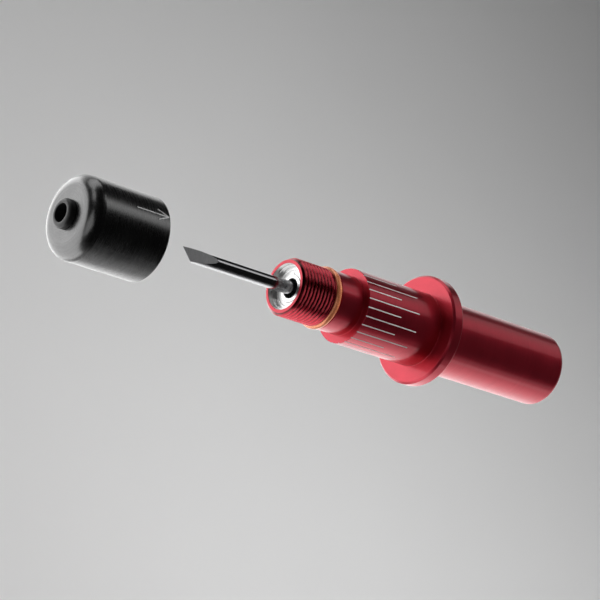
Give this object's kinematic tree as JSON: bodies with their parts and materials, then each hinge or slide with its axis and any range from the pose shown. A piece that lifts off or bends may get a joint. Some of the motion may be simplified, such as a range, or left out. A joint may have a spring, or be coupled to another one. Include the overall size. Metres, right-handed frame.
{
  "type": "swivel drag knife holder",
  "caption": "Swivel drag-knife holder for a plotter: flanged turned body, threaded nose with O-ring, round blade on ball bearings, and a screw cap.",
  "frame": {"origin": "centre of the flange's front face, on the tool's axis", "axes": "+X along the tool's axis from the blade towards the push button; +Z through the arrow on the cap"},
  "size_m": [0.097, 0.017, 0.017],
  "materials": {
    "red_anodised": "polished red anodise",
    "black_anodised": "satin black anodise",
    "black_foot": "fine satin",
    "white_fill": "paint in engraving",
    "grey_fill": "paint in engraving",
    "copper_rubber": "smooth copper-coloured elastomer",
    "bearing_steel": "ground",
    "shield_steel": "bright stamped",
    "ball_steel": "polished",
    "cage_steel": "stamped",
    "bright_steel": "turned and polished",
    "spring_steel": "drawn wire",
    "bare_aluminium": "turned",
    "dark_steel": "blackened",
    "magnet_nickel": "nickel plated",
    "carbide": "polished shank, ground flat",
    "pin_steel": "ground"
  },
  "bodies": {
    "holder": {"holder_body": "red_anodised", "depth_lines": "white_fill", "nose_o_ring": "copper_rubber", "bearing_snap_ring": "spring_steel", "bearing_spacer": "bare_aluminium", "preload_washer": "spring_steel", "front_bearing_outer_ring": "bearing_steel", "front_bearing_front_shield": "shield_steel", "front_bearing_rear_shield": "shield_steel", "rear_bearing_outer_ring": "bearing_steel", "rear_bearing_front_shield": "shield_steel", "rear_bearing_rear_shield": "shield_steel", "rear_plug": "red_anodised"},
    "spindle": {"blade_spindle": "dark_steel", "blade_magnet": "magnet_nickel", "front_bearing_inner_ring": "bearing_steel", "rear_bearing_inner_ring": "bearing_steel"},
    "blade": {"swivel_blade": "carbide"},
    "front_balls": {"front_bearing_balls": "ball_steel", "front_bearing_cage": "cage_steel"},
    "rear_balls": {"rear_bearing_balls": "ball_steel", "rear_bearing_cage": "cage_steel"},
    "ejector": {"ejector_pin": "pin_steel", "ejector_button": "bright_steel", "ejector_stop_clip": "spring_steel", "ejector_spring": "spring_steel"},
    "cap_carrier": {"cap_foot": "black_foot"},
    "cap": {"cap_shell": "black_anodised", "cap_arrow": "grey_fill"}
  },
  "joints": [
    {"name": "blade_swivel", "type": "hinge", "parent": "holder", "child": "spindle", "pos_m": [-0.0236, 0, 0], "axis": [1, 0, 0], "continuous": true},
    {"name": "blade_slide", "type": "slide", "parent": "spindle", "child": "blade", "axis": [1, 0, 0], "range_m": [0, 0.01585]},
    {"name": "front_ball_orbit", "type": "hinge", "parent": "holder", "child": "front_balls", "pos_m": [-0.0238, 0, 0], "axis": [1, 0, 0], "continuous": true},
    {"name": "rear_ball_orbit", "type": "hinge", "parent": "holder", "child": "rear_balls", "pos_m": [-0.0061, 0, 0], "axis": [1, 0, 0], "continuous": true},
    {"name": "ejector_press", "type": "slide", "parent": "holder", "child": "ejector", "axis": [-1, 0, 0], "range_m": [0, 0.0024], "stiffness_N_per_m": 350, "springref_m": -0.001, "deforming": ["ejector_spring"]},
    {"name": "cap_travel", "type": "slide", "parent": "holder", "child": "cap_carrier", "axis": [1, 0, 0], "range_m": [0, 0.0377]},
    {"name": "cap_turn", "type": "hinge", "parent": "cap_carrier", "child": "cap", "pos_m": [-0.0527, 0, 0], "axis": [1, 0, 0], "range_deg": [0, 20880]}
  ],
  "couplings": [
    {"joint": "front_ball_orbit", "follows": "blade_swivel", "ratio": 0.4043},
    {"joint": "rear_ball_orbit", "follows": "blade_swivel", "ratio": 0.4043},
    {"joint": "cap_turn", "follows": "cap_travel", "rad_per_m": 9666.4}
  ]
}
